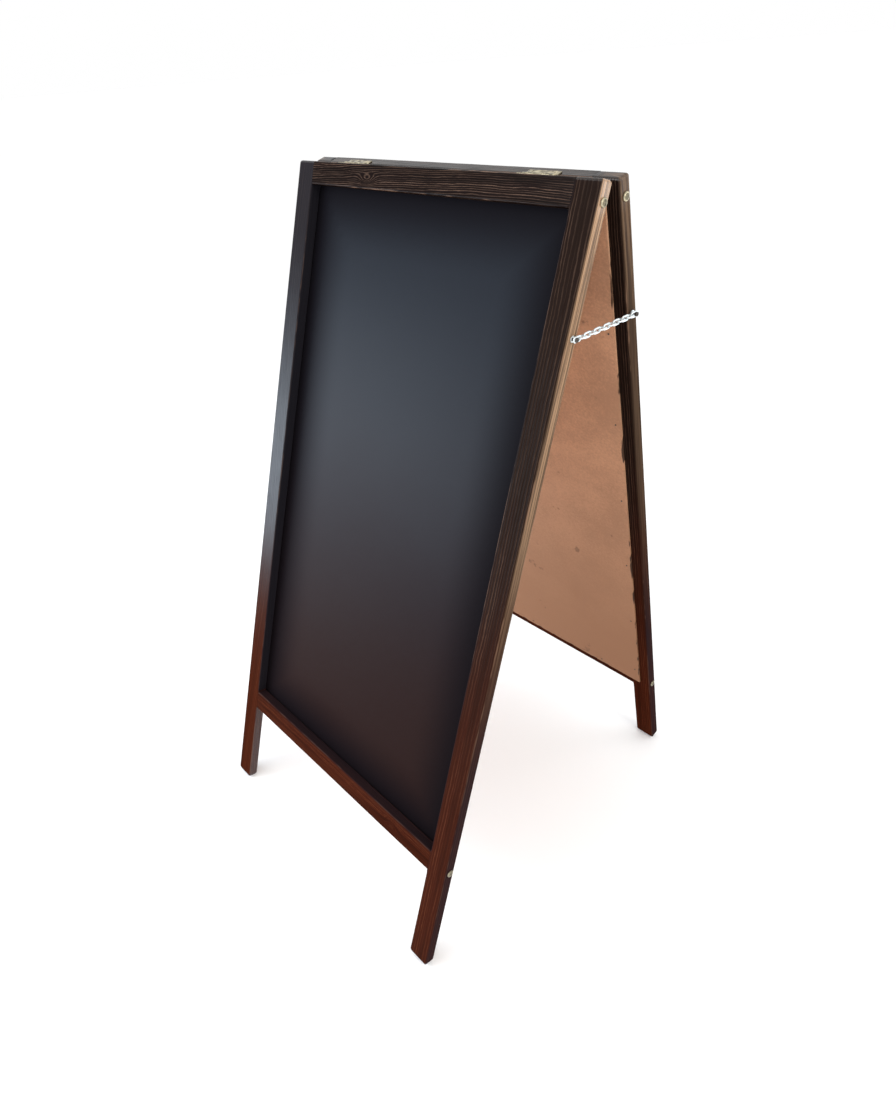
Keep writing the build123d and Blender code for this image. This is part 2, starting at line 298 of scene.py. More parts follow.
class Signal:
    """A shader socket that can be used in sums."""

    def __init__(self, tree, socket):
        self.tree = tree
        self.socket = socket

    @staticmethod
    def node(tree, kind, settings=None, values=None, output=0):
        """Add a node: its settings first, then the values or links of its sockets."""
        made = tree.nodes.new(kind)
        for key, value in (settings or {}).items():
            setattr(made, key, value)
        for key, value in (values or {}).items():
            plug(tree, made.inputs[key], value)
        return Signal(tree, made.outputs[output])

    def sum(self, operation, *others):
        """One Math node on this value and others."""
        values = {0: self, **{i + 1: other for i, other in enumerate(others)}}
        return Signal.node(self.tree, "ShaderNodeMath", {"operation": operation}, values)

    def reflected(self, operation, other):
        """One Math node with the plain number first."""
        values = {0: other, 1: self}
        return Signal.node(self.tree, "ShaderNodeMath", {"operation": operation}, values)

    def __add__(self, other):
        return self.sum("ADD", other)

    def __radd__(self, other):
        return self.reflected("ADD", other)

    def __sub__(self, other):
        return self.sum("SUBTRACT", other)

    def __rsub__(self, other):
        return self.reflected("SUBTRACT", other)

    def __mul__(self, other):
        return self.sum("MULTIPLY", other)

    def __rmul__(self, other):
        return self.reflected("MULTIPLY", other)

    def smooth(self, low, high, start=0.0, stop=1.0):
        """Rises smoothly from start to stop between low and high."""
        values = {"Value": self, "From Min": low, "From Max": high, "To Min": start, "To Max": stop}
        settings = {"interpolation_type": "SMOOTHSTEP"}
        return Signal.node(self.tree, "ShaderNodeMapRange", settings, values)

    def stretch(self, factors):
        """A vector multiplied axis by axis."""
        settings = {"operation": "MULTIPLY"}
        return Signal.node(self.tree, "ShaderNodeVectorMath", settings, {0: self, 1: factors})

    def noise(self, scale, detail=2.0, roughness=0.5):
        """Soft noise from 0 to 1 over this vector."""
        values = {"Vector": self, "Scale": scale, "Detail": detail, "Roughness": roughness}
        return Signal.node(self.tree, "ShaderNodeTexNoise", None, values)

    def blend(self, first, second):
        """A colour between two others, with this value as the factor."""
        values = {0: self, 6: first, 7: second}
        return Signal.node(self.tree, "ShaderNodeMix", {"data_type": "RGBA"}, values, output=2)


class Finish:
    """A new material with one Principled shader."""

    def __init__(self, name, **sockets):
        self.material = bpy.data.materials.new(name)
        self.material.use_nodes = True
        self.tree = self.material.node_tree
        self.shader = self.tree.nodes["Principled BSDF"]
        self.set(**sockets)

    def set(self, **sockets):
        """Set or link the shader's sockets, named with _ for a space."""
        for name, value in sockets.items():
            plug(self.tree, self.shader.inputs[name.replace("_", " ")], value)

    def read(self, name, vector=False):
        """A value stored on the mesh's points."""
        settings = {"attribute_name": name}
        return Signal.node(self.tree, "ShaderNodeAttribute", settings, output=1 if vector else 2)

    def place(self):
        """The point's place in the board's own frame at rest."""
        return Signal.node(self.tree, "ShaderNodeTexCoord", output=3)

    def part(self, vector, axis):
        """One component of a vector."""
        return Signal.node(self.tree, "ShaderNodeSeparateXYZ", None, {0: vector}, output=axis)

    def bump(self, height, distance, strength=1.0):
        """Raise the surface by a height from 0 to 1."""
        values = {"Height": height, "Distance": distance, "Strength": strength}
        self.set(Normal=Signal.node(self.tree, "ShaderNodeBump", None, values))


# ---- Finishes ----
# Noise in the wood, in cycles per metre across, along and through it. It is drawn out along the
# grain.
PATCHES = (60.0, 5.0, 60.0)
DRIFTS = (160.0, 8.0, 160.0)
STREAKS = (330.0, 5.0, 330.0)
WOBBLES = (420.0, 90.0, 420.0)
FIBRES = (1500.0, 22.0, 1500.0)
RING_TONES = 0.43  # changes of tone for each growth ring
WARM_STAIN = (0.98, 0.3)  # heights between which the stain turns from dark to warm
EVEN_LINES = 0.12  # how light the wood is where its ring lines are left plain
EDGE_LIGHT, EDGE_LOSS = 0.42, 0.27  # how bare rubbed edges are, and how much less so near the feet
FINE_RELIEF = 0.3 * MM


def stained_pine():
    """Dark stained, brushed and varnished pine."""
    settings = bpy.context.scene.board_timber
    finish = Finish("stained_pine", Coat_Roughness=0.26, Specular_IOR_Level=0.0)
    grain = finish.read("grain", vector=True)
    rings = finish.read("rings")
    contrast = finish.read("contrast")
    patch = grain.stretch(PATCHES).noise(1.0, 2.0)
    drift = grain.stretch(DRIFTS).noise(1.0, 2.0)
    streak = grain.stretch(STREAKS).noise(1.0, 2.0)
    wobble = grain.stretch(WOBBLES).noise(1.0, 3.0, 0.6)
    fibre = grain.stretch(FIBRES).noise(1.0, 3.0, 0.6)
    tones = {0: rings * RING_TONES}
    tone = Signal.node(finish.tree, "ShaderNodeCombineXYZ", None, tones).noise(1.0, 1.0)

    # Each ring's hard late wood stands out as a thin line.
    phase = (rings + wobble * 0.4 + drift * 0.5).sum("FRACT")
    ridge = phase.smooth(0.56, 0.8) * (1.0 - phase.smooth(0.88, 1.0))
    line = ridge * fibre.smooth(0.3, 0.58) * tone.smooth(0.36, 0.6, 0.2, 1.0)
    line = line * patch.smooth(0.3, 0.6, 0.3, 1.0) * contrast + (1.0 - contrast) * EVEN_LINES

    # The stain is warmer towards the feet, and darker in some rings.
    lowness = (finish.part(finish.place(), 2) + patch * 0.25).smooth(*WARM_STAIN)
    stain = lowness.blend(tuple(settings.stain), tuple(settings.low_stain))
    deep = tone.smooth(0.6, 0.38) * patch.smooth(0.62, 0.4) * contrast
    stain = (deep * 0.7).blend(stain, tuple(0.35 * value for value in settings.stain))
    proud = lowness.blend(tuple(settings.ridge), tuple(settings.low_ridge))
    colour = line.blend(stain, proud)

    # Painted light on the upper outer sides, rubbed edges and painted shade lie over it.
    honey = finish.read("honey") * (1.0 - ridge * 0.65) * streak.smooth(0.38, 0.56, 0.4, 1.0)
    colour = honey.blend(colour, tuple(settings.honey))
    rubbed = (finish.read("wear") * 1.4 + fibre * 0.5 + patch * 0.4 - 0.95).smooth(0.0, 0.6)
    colour = (rubbed * (EDGE_LIGHT - lowness * EDGE_LOSS)).blend(colour, tuple(settings.bare))
    # Painted shade darkens the recessed faces and those turned from the light.
    colour = finish.read("shade").blend(colour, tuple(settings.shade))
    finish.set(
        Base_Color=colour,
        Roughness=0.5 - ridge * 0.12 + fibre * 0.1,
        Coat_Weight=finish.read("gloss") * fibre.smooth(0.25, 0.6, 0.55, 1.0),
    )
    finish.bump(ridge * 0.6 + fibre * 0.4, FINE_RELIEF, 0.6)
    return finish.material


def writing_coat():
    """Satin black writing coat, tinted by painted reflections down its height, and duller and
    darker with painted shade beside the frame.
    """
    settings = bpy.context.scene.board_panel
    finish = Finish("writing_coat", Specular_IOR_Level=0.0, Coat_Roughness=0.4)
    place = finish.place()
    cloud = place.stretch((4.0, 4.0, 4.0)).noise(1.0, 3.0)
    stipple = place.noise(900.0, 2.0, 0.55)
    height = finish.part(place, 2) + cloud * 0.12 - 0.06
    # Painted shade beside the frame: there the coat turns darker and carries less varnish.
    clear = finish.read("margin").smooth(15.0 * MM, 120.0 * MM, 0.1, 1.0)
    # Painted reflections tint the black: bluish at the top, warm at the foot.
    colour = height.smooth(1.05, 0.3).blend(tuple(settings.black), tuple(settings.low_black))
    colour = (1.0 - clear).blend(colour, tuple(settings.edge_shade_black))
    sheen = height.smooth(0.55, 0.85, 0.15, 0.235) * height.smooth(0.1, 0.34, 0.3, 1.0)
    finish.set(
        Base_Color=colour,
        Roughness=0.7 + cloud * 0.08 + stipple * 0.04,
        Coat_Weight=sheen * clear * (0.9 + stipple * 0.2),
    )
    finish.bump(stipple, 0.08 * MM, 0.35)
    return finish.material


def bare_hardboard():
    """Brown pressed hardboard, blotched, and smeared with stain near its edges."""
    settings = bpy.context.scene.board_panel
    finish = Finish("bare_hardboard", IOR=1.45, Specular_IOR_Level=0.2)
    place = finish.place()
    cloud = place.noise(7.0, 4.0, 0.6)
    fleck = place.noise(260.0, 3.0, 0.7)
    fuzz = place.noise(1400.0, 2.0)
    light = tuple(1.12 * value for value in settings.hardboard)
    dark = tuple(0.74 * value for value in settings.hardboard)
    colour = (cloud * 0.6 + fleck * 0.4).smooth(0.35, 0.65).blend(dark, light)
    low = finish.part(place, 2).smooth(1.0, 0.15)
    colour = low.blend(colour, tuple(settings.low_hardboard))
    blotch = place.stretch((34.0, 34.0, 26.0)).noise(1.0, 4.0, 0.62).smooth(0.66, 0.74)
    colour = (blotch * 0.5).blend(colour, tuple(settings.blotch))
    smear = place.stretch((45.0, 30.0, 10.0)).noise(1.0, 3.0, 0.65)
    near = finish.read("margin").smooth(5.0 * MM, 0.5 * MM)
    stained = (near * 0.3 + smear - 0.7).smooth(0.1, 0.16)
    colour = (stained * 0.9).blend(colour, tuple(settings.smear))
    finish.set(Base_Color=colour, Roughness=0.62 + fleck * 0.12)
    finish.bump(fleck * 0.5 + fuzz * 0.5, 0.12 * MM, 0.5)
    return finish.material


def metal(name, colour, tint, dull, roughness, scratched, metallic):
    """A plated or polished metal with fine scratches and duller patches."""
    finish = Finish(name, Metallic=metallic)
    place = finish.place()
    patch = place.noise(85.0, 4.0, 0.65)
    scratch = place.stretch((2600.0, 420.0, 900.0)).noise(1.0, 2.0, 0.7)
    clean = tuple(tint * value for value in colour)
    darker = tuple(dull * value for value in clean)
    finish.set(
        Base_Color=patch.smooth(0.38, 0.66).blend(darker, clean),
        Roughness=roughness + patch * 0.14 + scratch * 0.08,
    )
    finish.bump(scratch, 0.03 * MM, scratched)
    return finish.material


def floor_finish():
    """A plain pale floor."""
    settings = bpy.context.scene.board_stage
    finish = Finish("pale_floor", Specular_IOR_Level=0.1, Emission_Strength=settings.floor_glow)
    finish.set(
        Base_Color=tuple(settings.floor),
        Emission_Color=(1.0, 1.0, 1.0),
        Roughness=0.9 + finish.place().noise(3.0, 2.0) * 0.05,
    )
    return finish.material


# Each metal: its colour's setting, its tint, how dull its patches are, its roughness, its
# scratches and how metallic it is.
METALS = {
    "brass": ("brass", 1.0, 0.3, 0.18, 0.3, 1.0),
    # A darker brass: painted shade for the frame screws deep in their cups.
    "tarnished_brass": ("brass", 0.4, 0.6, 0.3, 0.3, 1.0),
    "bright_zinc": ("zinc", 1.0, 0.85, 0.3, 0.25, 0.7),
    "pin_steel": ("pin_steel", 1.0, 0.6, 0.4, 0.3, 0.8),
}
PLAIN_FINISHES = {
    "stained_pine": stained_pine,
    "writing_coat": writing_coat,
    "bare_hardboard": bare_hardboard,
    "pale_floor": floor_finish,
}
made_finishes = {}


def finish_for(name):
    """The material of a name, made the first time it is asked for."""
    if name not in made_finishes:
        if name in METALS:
            setting, *numbers = METALS[name]
            colour = getattr(bpy.context.scene.board_metal, setting)
            made_finishes[name] = metal(name, colour, *numbers)
        else:
            made_finishes[name] = PLAIN_FINISHES[name]()
    return made_finishes[name]


# ---- Mesh helpers ----
SHARP_ANGLE = radians(40)  # edges bent more than this look sharp
WELD_DISTANCE = 0.002 * MM  # points closer than this are one


def add_object(name, mesh, *finishes):
    """Put a mesh in the scene under a name, with its finishes."""
    made = bpy.data.objects.new(name, mesh)
    bpy.context.scene.collection.objects.link(made)
    for finish in finishes:
        mesh.materials.append(finish_for(finish))
    return made


def turned_outward(name, points, faces):
    """A mesh with every face turned outward."""
    mesh = bpy.data.meshes.new(name)
    mesh.from_pydata(points, [], faces)
    shape = bmesh.new()
    shape.from_mesh(mesh)
    bmesh.ops.recalc_face_normals(shape, faces=shape.faces)
    shape.to_mesh(mesh)
    shape.free()
    return mesh


def store(mesh, name, kind, values):
    """Keep one value for each point of a mesh."""
    layer = mesh.attributes.new(name, kind, "POINT")
    key = "vector" if kind == "FLOAT_VECTOR" else "value"
    layer.data.foreach_set(key, values)


def fixed(piece, body, slot, *nodes):
    """Fix a piece to a body in place of the nodes that it stands for."""
    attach(piece, body)
    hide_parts(*nodes)


def ramp(value, low, high):
    """From 0 to 1 as a value goes from low to high, and no further."""
    return max(0.0, min(1.0, (value - low) / (high - low)))


def steps_between(low, high, step):
    """Evenly spaced values from low to high, no more than step apart."""
    count = max(1, ceil((high - low) / step))
    return [low + (high - low) * i / count for i in range(count + 1)]


# ---- Timber ----
STICKS = (("left_stile", 1), ("right_stile", 1), ("top_rail", 0), ("bottom_rail", 0))
KNOTS = {"top_rail": (-0.115, -0.004), "bottom_rail": (0.16, 0.003)}  # along and across
KNOT_LENGTH, KNOT_BREADTH, KNOT_RISE = 16.0 * MM, 7.5 * MM, 7.0 * MM
CONTRAST = {"top_rail": 1.0, "bottom_rail": 0.65, "right_stile": 0.5, "left_stile": 0.3}
PITH_DISTANCE = 85.0 * MM  # from a stick's middle to the heart of its tree
PITH_WANDER = (16.0 * MM, 12.0 * MM)  # how far the heart strays along a stick
RIPPLE, QUIVER, RING_SPREAD = 1.8 * MM, 0.6 * MM, 1.6 * MM  # unevenness of the rings
WEAR_DEPTH = 0.12 * MM  # how far a rubbed edge is worn away
TURN_STEPS = 5  # sections round each end
ARC_STEPS = 4  # points round each arris
LAYERS = ("rings", "wear", "honey", "gloss", "shade", "contrast")

# Heights above the ground between which the finish changes.
# Heights over which the painted light comes onto the upper outer sides.
SIDE_LIGHT_HEIGHTS = (0.4, 1.15)
# Heights over which painted shade comes onto the left stile's upper face and the lower outer sides.
SHADE_FACE_HEIGHTS = (0.4, 0.6)
SHADE_SIDE_HEIGHTS = (0.6, 0.35)
SHEEN_HEIGHT, SHEEN_REACH = 0.68, 0.2


def section_outline(half_u, half_w, radius, step):
    """Points and outward directions round a rounded rectangle, once round, with corner shares."""
    outline = []
    corners = ((1, 1, 0), (-1, 1, 1), (-1, -1, 2), (1, -1, 3))
    for sign_u, sign_w, quarter in corners:
        centre = (sign_u * (half_u - radius), sign_w * (half_w - radius))
        for i in range(ARC_STEPS + 1):
            angle = (quarter + i / ARC_STEPS) * pi / 2
            normal = (cos(angle), sin(angle))
            corner = sin(pi * i / ARC_STEPS)
            outline.append((centre, radius, normal, corner))
        flat = 2 * ((half_u if quarter % 2 == 0 else half_w) - radius)
        count = max(1, ceil(flat / step))
        angle = (quarter + 1) * pi / 2
        normal = (cos(angle), sin(angle))
        along = (-sin(angle), cos(angle))
        for i in range(1, count):
            shift = flat * i / count
            moved = (centre[0] + along[0] * shift, centre[1] + along[1] * shift)
            outline.append((moved, radius, normal, 0.0))
    return outline


class Stick:
    """One straight piece of timber, with its growth rings and its wear."""

    def __init__(self, axes, part, along, seed):
        self.settings = settings = bpy.context.scene.board_timber
        self.axes = axes
        self.part = part
        self.low, self.high = axes.box(f"{axes.name}_{part}")
        self.along = along
        self.section = (0, 2) if along == 1 else (1, 2)
        if along == 1:
            self.ends = (settings.foot_round, settings.top_round)
            self.ring_width = settings.stile_rings
        else:
            self.ends = (settings.joint_round, settings.joint_round)
            self.ring_width = settings.rail_rings
        self.joints = []
        for rail in ("top_rail", "bottom_rail"):
            rail_low, rail_high = axes.box(f"{axes.name}_{rail}")
            self.joints.append((rail_low[1], rail_high[1]))
        self.shift = Vector((seed * 3.7, seed * 1.9, seed * 5.3))
        turn = radians(38) + radians(30) * noise.noise(Vector((seed * 9.1, 0.3, 0.7)))
        side = -1.0 if seed % 2 else 1.0
        self.pith = (side * PITH_DISTANCE * cos(turn), -PITH_DISTANCE * sin(turn))

    def drift(self, *place):
        """Soft noise from -1 to 1, different for each stick."""
        return noise.noise(Vector(place) + self.shift)

    def ring(self, u, w, s):
        """How many growth rings lie between the heart of the tree and a point."""
        bend = self.drift(s * 1.7, 0.5, 0.0)
        pith_u = self.pith[0] + bend * PITH_WANDER[0]
        pith_w = self.pith[1] + bend * PITH_WANDER[1]
        reach = sqrt((u - pith_u) ** 2 + (w - pith_w) ** 2)
        reach += self.drift(s * 5.0, u * 14.0, w * 14.0) * RIPPLE
        reach += self.drift(s * 38.0, u * 60.0, w * 60.0) * QUIVER
        reach += self.drift(reach * 170.0, s * 0.9, 4.0) * RING_SPREAD
        if self.part in KNOTS:
            knot_s, knot_u = KNOTS[self.part]
            off = ((s - knot_s) / KNOT_LENGTH) ** 2 + ((u - knot_u) / KNOT_BREADTH) ** 2
            reach += KNOT_RISE * exp(-off)
        return reach / self.ring_width

    def wear(self, s, corner, index):
        """How far an edge is rubbed at a point, from 0 to 1."""
        if corner <= 0.0:
            return 0.0
        long = self.drift(s * 7.0, index * 0.05, 3.0)
        short = self.drift(s * 60.0, index * 0.3, 9.0)
        return max(0.0, min(1.0, corner * (0.45 + 0.9 * long + 0.6 * short)))

    def hollow(self, u, w, s, ring, worn, corner):
        """How far a point lies below the planed face."""
        brushed = self.settings.relief * (0.5 + 0.5 * cos(2 * pi * ring)) * (1.0 - corner)
        broad = self.settings.waviness * (0.5 + 0.5 * self.drift(s * 9.0, u * 30.0, w * 30.0))
        return brushed + broad * 0.6 + worn * WEAR_DEPTH

    def square_up(self, centre, radius, s):
        """Sharpen a stile's inner arris where a rail butts against it."""
        room = min(max(low - s, s - high) for low, high in self.joints)
        share = max(0.25, min(1.0, room / self.settings.length_step))
        moved = radius * (1.0 - share)
        across, out = (value + moved * (1 if value > 0 else -1) for value in centre)
        return (across, out), radius * share

    def stations(self):
        """Places along the length with how far the section draws in at each."""
        start, stop = self.low[self.along], self.high[self.along]
        foot, top = self.ends
        turn = [1 - cos(pi / 2 * i / TURN_STEPS) for i in range(TURN_STEPS)]
        near = [(start + foot * t, foot * (1 - sqrt(1 - (1 - t) ** 2))) for t in turn]
        middle = steps_between(start + foot, stop - top, self.settings.length_step)
        far = [(stop - top * t, top * (1 - sqrt(1 - (1 - t) ** 2))) for t in turn]
        return near + [(s, 0.0) for s in middle] + far[::-1]

    def build(self, name):
        """Make the mesh, with its grain and its finish stored at every point."""
        first, second = self.section
        middle = [(self.low[i] + self.high[i]) / 2 for i in range(3)]
        half = [(self.high[i] - self.low[i]) / 2 for i in range(3)]
        outline = section_outline(
            half[first], half[second], self.settings.arris, self.settings.section_step
        )
        count = len(outline)
        points, grain = [], []
        layers = {key: [] for key in LAYERS}
        stations = self.stations()
        for s, inset in stations:
            for index, (centre, radius, normal, corner) in enumerate(outline):
                if corner > 0.0 and self.along == 1 and centre[0] * middle[0] < 0:
                    centre, radius = self.square_up(centre, radius, s)
                u = centre[0] + normal[0] * radius
                if self.along == 0 or s < middle[1] or u * middle[0] > 0:
                    u *= 1 - inset / half[first]
                w = (centre[1] + normal[1] * radius) * (1 - inset / half[second])
                ring = self.ring(u, w, s)
                worn = self.wear(s, corner, index)
                depth = self.hollow(u, w, s, ring, worn, corner)
                local = [0.0, 0.0, 0.0]
                local[self.along] = s
                local[first] = middle[first] + u - normal[0] * depth
                local[second] = middle[second] + w - normal[1] * depth
                place = self.axes.to_board(local)
                points.append(place)
                grain.extend((u + self.shift.x, s + self.shift.y, w + self.shift.z))
                outward = normal[0] * (1.0 if middle[first] + u > 0 else -1.0)
                values = (
                    ring,
                    worn,
                    self.honey(outward, place.z, s),
                    self.gloss(normal, outward, place.z, s, inset),
                    self.shade(normal, outward, place.z, s),
                    CONTRAST[self.part],
                )
                for key, value in zip(LAYERS, values):
                    layers[key].append(value)
        faces = []
        for i in range(len(stations) - 1):
            for j in range(count):
                a, b = i * count + j, i * count + (j + 1) % count
                faces.append((a, b, b + count, a + count))
        self.cap(points, grain, layers, faces, 0, count)
        self.cap(points, grain, layers, faces, len(stations) - 1, count)
        mesh = turned_outward(name, points, faces)
        store(mesh, "grain", "FLOAT_VECTOR", grain)
        for key, values in layers.items():
            store(mesh, key, "FLOAT", values)
        mesh.shade_smooth()
        return mesh

    def honey(self, outward, height, s):
        """How much painted light lies on a point: only on the outer sides of the stiles, towards
        the top.
        """
        if self.along != 1:
            return 0.0
        thin = ramp(height + 0.1 * self.drift(s * 4.0, 7.0, 0.0), *SIDE_LIGHT_HEIGHTS) ** 1.3
        strength = 1.0 if self.axes.name == "front" else 0.24
        return max(0.0, outward) ** 2 * strength * thin

    def gloss(self, normal, outward, height, s, inset):
        """How thick the varnish is: most on the top, the outer sides and the left stile."""
        if self.along == 0:
            upward = normal[0] if self.part == "top_rail" else 0.0
            return max(upward, 0.0, 0.1 * normal[1] * height)
        share = (s - self.low[1]) / (self.high[1] - self.low[1])
        end = 1.0 if inset > 0.0 and share > 0.5 else 0.0
        strength = 1.0 if self.axes.name == "front" else 0.25
        side = outward * (0.03 + 0.3 * share**3 + 0.7 * ramp(share, 0.965, 0.98)) * strength
        face = 0.05
        if self.part == "left_stile":
            drift = 0.05 * self.drift(s * 5.0, 2.0, 0.0)
            face = 0.34 * exp(-(((height + drift - SHEEN_HEIGHT) / SHEEN_REACH) ** 2))
            face += 0.16 * share**2
        leg = 1.0 if outward < -0.5 and s < self.joints[1][0] else 0.0
        return max(0.0, side, face * normal[1], end, leg * -outward)

    def shade(self, normal, outward, height, s):
        """How much painted shade a face gets: inner sides, lower outer sides, lower ledge, upper
        left stile.
        """
        if self.along == 0:
            return max(0.0, normal[0]) * (0.7 if self.part == "bottom_rail" else 0.0)
        leg = 0.2 if self.axes.name == "front" else 0.8
        recess = -outward * (0.95 if s > self.joints[1][1] else leg)
        upper = 0.75 if self.part == "left_stile" else 0.0
        face = upper * max(0.0, normal[1]) * ramp(height, *SHADE_FACE_HEIGHTS)
        return max(face, recess, 0.6 * outward * ramp(height, *SHADE_SIDE_HEIGHTS))

    def cap(self, points, grain, layers, faces, station, count):
        """Close one end with rings of faces that shrink to its middle."""
        base = station * count
        centre = sum((points[base + j] for j in range(count)), Vector()) / count
        previous = list(range(base, base + count))
        for share in (0.66, 0.33):
            ring = []
            for j in range(count):
                at = base + j
                ring.append(len(points))
                points.append(centre + (points[at] - centre) * share)
                grain.extend(grain[3 * at : 3 * at + 3])
                for values in layers.values():
                    values.append(values[at] * share + values[base] * (1 - share))
            for j in range(count):
                k = (j + 1) % count
                faces.append((previous[j], previous[k], ring[k], ring[j]))
            previous = ring
        faces.append(tuple(previous))


class BOARD_OT_timber(bpy.types.Operator):
    """Build the stiles and rails of both frames."""

    bl_idname = "board.timber"
    bl_label = "Timber frames"

    def execute(self, context):
        for order, (name, axes) in enumerate(AXES.items()):
            for number, (part, along) in enumerate(STICKS):
                node = f"{name}_{part}"
                stick = Stick(axes, part, along, 1 + number + 4 * order)
                piece = add_object(f"{node}_wood", stick.build(node), "stained_pine")
                fixed(piece, axes.body, "stained_pine", node)
        return {"FINISHED"}


# ---- Writing panels ----
FLAT_RIM = 30.0 * MM  # from a panel's edge to where its full bow begins


def panel_mesh(axes, node):
    """A thin sheet: black on its outer face, bare on its inner face and edges."""
    settings = bpy.context.scene.board_panel
    low, high = axes.box(node)
    columns = steps_between(low[0], high[0], settings.step)
    rows = steps_between(low[1], high[1], settings.step)
    points, margins, faces, finishes = [], [], [], []
    for side, depth in ((1, high[2]), (0, low[2])):
        for y in rows:
            for x in columns:
                margin = min(x - low[0], high[0] - x, y - low[1], high[1] - y)
                bow = noise.noise(Vector((x * 5.0, y * 3.0, side * 4.0)))
                inward = settings.bow * (0.5 + 0.5 * bow) * min(1.0, margin / FLAT_RIM)
                out = depth - inward if side else depth + inward
                points.append(axes.to_board((x, y, out)))
                margins.append(margin)
    width, height = len(columns), len(rows)
    layer = width * height
    for side in (0, 1):
        for j in range(height - 1):
            for i in range(width - 1):
                a = side * layer + j * width + i
                faces.append((a, a + 1, a + 1 + width, a + width))
                finishes.append(side)
    rim = list(range(width))
    rim += [j * width + width - 1 for j in range(1, height)]
    rim += [(height - 1) * width + i for i in range(width - 2, -1, -1)]
    rim += [j * width for j in range(height - 2, 0, -1)]
    for a, b in zip(rim, rim[1:] + rim[:1]):
        faces.append((a, b, b + layer, a + layer))
        finishes.append(1)
    mesh = turned_outward(node, points, faces)
    store(mesh, "margin", "FLOAT", margins)
    mesh.polygons.foreach_set("material_index", finishes)
    mesh.shade_smooth()
    mesh.set_sharp_from_angle(angle=SHARP_ANGLE)
    return mesh


class BOARD_OT_panels(bpy.types.Operator):
    """Build the two writing panels."""

    bl_idname = "board.panels"
    bl_label = "Writing panels"

    def execute(self, context):
        for name, axes in AXES.items():
            node = f"{name}_panel"
            mesh = panel_mesh(axes, node)
            piece = add_object(f"{node}_sheet", mesh, "writing_coat", "bare_hardboard")
            fixed(piece, axes.body, "blackboard", node)
        return {"FINISHED"}


# ---- Metal ----
FLAT_ANGLE = radians(1.0)  # faces bent less than this are joined
BEVEL_ANGLE = radians(35)  # edges bent more than this are softened


def softened(node, finish, bevel):
    """A copy of a node's shape with flat faces joined and its edges softened."""
    mesh = frame["nodes"][node].data.copy()
    mesh.materials.clear()
    shape = bmesh.new()
    shape.from_mesh(mesh)
    bmesh.ops.remove_doubles(shape, verts=shape.verts, dist=WELD_DISTANCE)
    bmesh.ops.dissolve_limit(
        shape, angle_limit=FLAT_ANGLE, verts=shape.verts, edges=shape.edges
    )
    shape.to_mesh(mesh)
    shape.free()
    piece = add_object(f"{node}_metal", mesh, finish)
    soften = piece.modifiers.new("soften", "BEVEL")
    soften.width = bevel
    soften.segments = 2
    soften.limit_method = "ANGLE"
    soften.angle_limit = BEVEL_ANGLE
    graph = bpy.context.evaluated_depsgraph_get()
    result = bpy.data.meshes.new_from_object(piece.evaluated_get(graph))
    piece.modifiers.clear()
    piece.data = result
    result.shade_smooth()
    result.set_sharp_from_angle(angle=SHARP_ANGLE)
    return piece


HINGE_PARTS = (("front_leaf", "front_frame"), ("rear_leaf", "rear_frame"), ("pin", "front_frame"))


class BOARD_OT_hinges(bpy.types.Operator):
    """Finish the hinge leaves, pins and screws."""

    bl_idname = "board.hinges"
    bl_label = "Hinges"

    def execute(self, context):
        bevel = context.scene.board_metal.bevel
        for hand in HANDS:
            for part, body in HINGE_PARTS:
                node = f"{hand}_hinge_{part}"
                fixed(softened(node, "brass", bevel), body, "brass", node)
        for name in FRAMES:
            node = f"{name}_hinge_screws"
            fixed(softened(node, "brass", bevel * 0.5), f"{name}_frame", "brass", node)
        return {"FINISHED"}


# Each kind of fastener: its part of the node's name, its finish and its slot.
FASTENERS = (
    # The frame screws take the darker brass as painted shade inside their cups.
    ("frame_screws", "tarnished_brass", "brass"),
    ("screw_cups", "brass", "brass"),
    ("panel_pins", "pin_steel", "dark_steel"),
    # The chain screws take the dark pin colour as painted shade for the holes of the end links.
    ("chain_screws", "pin_steel", "dark_steel"),
    ("chain_washers", "bright_zinc", "bright_zinc"),
)


class BOARD_OT_fasteners(bpy.types.Operator):
    """Finish the frame and chain screws, the screw cups, the washers and the panel pins."""

    bl_idname = "board.fasteners"
    bl_label = "Screws and pins"

    def execute(self, context):
        bevel = context.scene.board_metal.bevel
        for name in FRAMES:
            body = f"{name}_frame"
            for part, finish, slot in FASTENERS:
                node = f"{name}_{part}"
                fixed(softened(node, finish, bevel), body, slot, node)
        return {"FINISHED"}


# ---- Chains ----
BEND_SHARE = 0.78  # how round a link's ends are: 1 is a half circle
BEND_STEPS = 7  # points round each quarter of a link
SIDE_STOPS = (0.8, 0.5, 0.25, 0.0, -0.25, -0.5, -0.8)  # points along a link's straight sides
WELD_HALF_LENGTH = 1.1 * MM
WIRE_PLAY = 0.02 * MM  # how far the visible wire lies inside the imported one


def loose_parts(mesh):
    """The points of each separate solid of a mesh."""
    shape = bmesh.new()
    shape.from_mesh(mesh)
    bmesh.ops.remove_doubles(shape, verts=shape.verts, dist=WELD_DISTANCE)
    left = set(shape.verts)
    groups = []
    while left:
        seed = left.pop()
        group, queue = [seed.co.copy()], [seed]
        while queue:
            for edge in queue.pop().link_edges:
                for vertex in edge.verts:
                    if vertex in left:
                        left.remove(vertex)
                        group.append(vertex.co.copy())
                        queue.append(vertex)
        groups.append(group)
    shape.free()
    return groups


